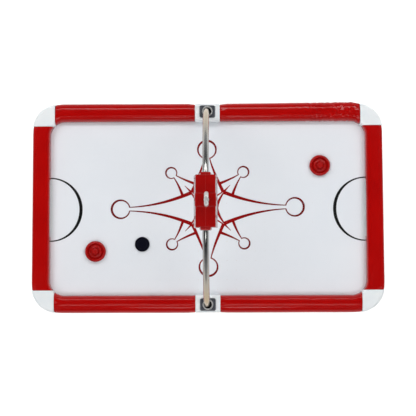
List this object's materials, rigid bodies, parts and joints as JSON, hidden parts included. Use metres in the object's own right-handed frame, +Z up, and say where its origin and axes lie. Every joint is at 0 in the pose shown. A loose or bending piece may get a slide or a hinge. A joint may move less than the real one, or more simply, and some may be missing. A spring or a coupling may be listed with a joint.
{
  "type": "air hockey table",
  "caption": "Air hockey table with a white perforated playfield, padded red rails, silver corner castings, goal slots with pockets, a blower beneath, and a scorer on a chrome hoop.",
  "frame": {"origin": "on the floor under the centre of the table", "axes": "+X along the table towards the right end, +Y across it towards the rear rail, +Z up"},
  "size_m": [1.827, 1.09, 1.4],
  "materials": {
    "white_laminate": "glossy white laminate over board",
    "red_print": "printed vinyl, dark red",
    "black_print": "printed vinyl, black",
    "red_vinyl": "padded vinyl, glossy, lightly wrinkled",
    "timber": "bare board",
    "cast_silver": "bright silver casting",
    "dark_plate": "dark grey anodised",
    "chrome_tube": "polished chrome",
    "steel_fastener": "zinc plated",
    "leveler_steel": "zinc plated",
    "black_rubber": "black rubber",
    "red_moulding": "glossy red moulding",
    "display_window": "pale grey tinted acrylic",
    "display_bars": "unlit red display bars",
    "circuit_board": "black solder mask",
    "black_laminate": "black satin laminate",
    "black_plastic": "textured black",
    "motor_casing": "grey enamel",
    "grey_plastic": "moulded",
    "rocker_red": "glossy red",
    "puck_black": "smooth black",
    "mallet_red": "glossy red moulding",
    "felt": "grey felt"
  },
  "bodies": {
    "table": {"playfield": "white_laminate", "centre_print": "red_print", "crease_prints": "black_print", "rail_front_left": "red_vinyl", "rail_front_right": "red_vinyl", "rail_rear_left": "red_vinyl", "rail_rear_right": "red_vinyl", "rail_end_left": "red_vinyl", "rail_end_right": "red_vinyl", "rail_cores": "timber", "plenum_floor": "timber", "plenum_battens": "timber", "corner_cleats": "timber", "corner_cap_front_left": "cast_silver", "corner_cap_front_right": "cast_silver", "corner_cap_rear_left": "cast_silver", "corner_cap_rear_right": "cast_silver", "arch_socket_front": "cast_silver", "arch_socket_rear": "cast_silver", "socket_plates": "dark_plate", "socket_collars": "chrome_tube", "arch_tube_front": "chrome_tube", "arch_tube_rear": "chrome_tube", "scorer_eye": "chrome_tube", "arch_joiner": "steel_fastener", "scorer_screws": "steel_fastener", "rail_bolts": "steel_fastener", "cabinet_bolts": "steel_fastener", "arch_bushes": "black_rubber", "blower_lead": "black_rubber", "scorer_shell_left": "red_moulding", "scorer_shell_right": "red_moulding", "scorer_window_left": "display_window", "scorer_window_right": "display_window", "scorer_digits": "display_bars", "scorer_boards": "circuit_board", "apron_front": "black_laminate", "apron_rear": "black_laminate", "apron_left": "black_laminate", "apron_right": "black_laminate", "leg_front_left": "black_laminate", "leg_front_right": "black_laminate", "leg_rear_left": "black_laminate", "leg_rear_right": "black_laminate", "goal_pocket_left": "black_plastic", "goal_pocket_right": "black_plastic", "blower_housing": "black_plastic", "power_inlet": "black_plastic", "blower_motor": "motor_casing"},
    "puck": {"puck": "puck_black"},
    "mallet_left": {"mallet_left": "mallet_red", "mallet_pad_left": "felt"},
    "mallet_right": {"mallet_right": "mallet_red", "mallet_pad_right": "felt"},
    "impeller": {"blower_impeller": "grey_plastic"},
    "rocker": {"rocker_switch": "rocker_red"},
    "leveler_front_left": {"leveler_front_left": "leveler_steel"},
    "leveler_front_right": {"leveler_front_right": "leveler_steel"},
    "leveler_rear_left": {"leveler_rear_left": "leveler_steel"},
    "leveler_rear_right": {"leveler_rear_right": "leveler_steel"}
  },
  "joints": [
    {"name": "puck_glide", "type": "slide", "parent": "table", "child": "puck", "axis": [1, 0, 0], "range_m": [-0.145, 0.835]},
    {"name": "mallet_left_glide", "type": "slide", "parent": "table", "child": "mallet_left", "axis": [0, 1, 0], "range_m": [-0.172, 0.624]},
    {"name": "mallet_right_glide", "type": "slide", "parent": "table", "child": "mallet_right", "axis": [0, 1, 0], "range_m": [-0.619, 0.177]},
    {"name": "impeller_spin", "type": "hinge", "parent": "table", "child": "impeller", "pos_m": [-0.3, 0, 0.656], "axis": [0, 0, 1], "continuous": true},
    {"name": "rocker_tilt", "type": "hinge", "parent": "table", "child": "rocker", "pos_m": [-0.496, 0.534, 0.655], "axis": [1, 0, 0], "range_deg": [0, 16]},
    {"name": "leveler_front_left_screw", "type": "slide", "parent": "table", "child": "leveler_front_left", "axis": [0, 0, 1], "range_m": [-0.025, 0]},
    {"name": "leveler_front_right_screw", "type": "slide", "parent": "table", "child": "leveler_front_right", "axis": [0, 0, 1], "range_m": [-0.025, 0]},
    {"name": "leveler_rear_left_screw", "type": "slide", "parent": "table", "child": "leveler_rear_left", "axis": [0, 0, 1], "range_m": [-0.025, 0]},
    {"name": "leveler_rear_right_screw", "type": "slide", "parent": "table", "child": "leveler_rear_right", "axis": [0, 0, 1], "range_m": [-0.025, 0]}
  ]
}
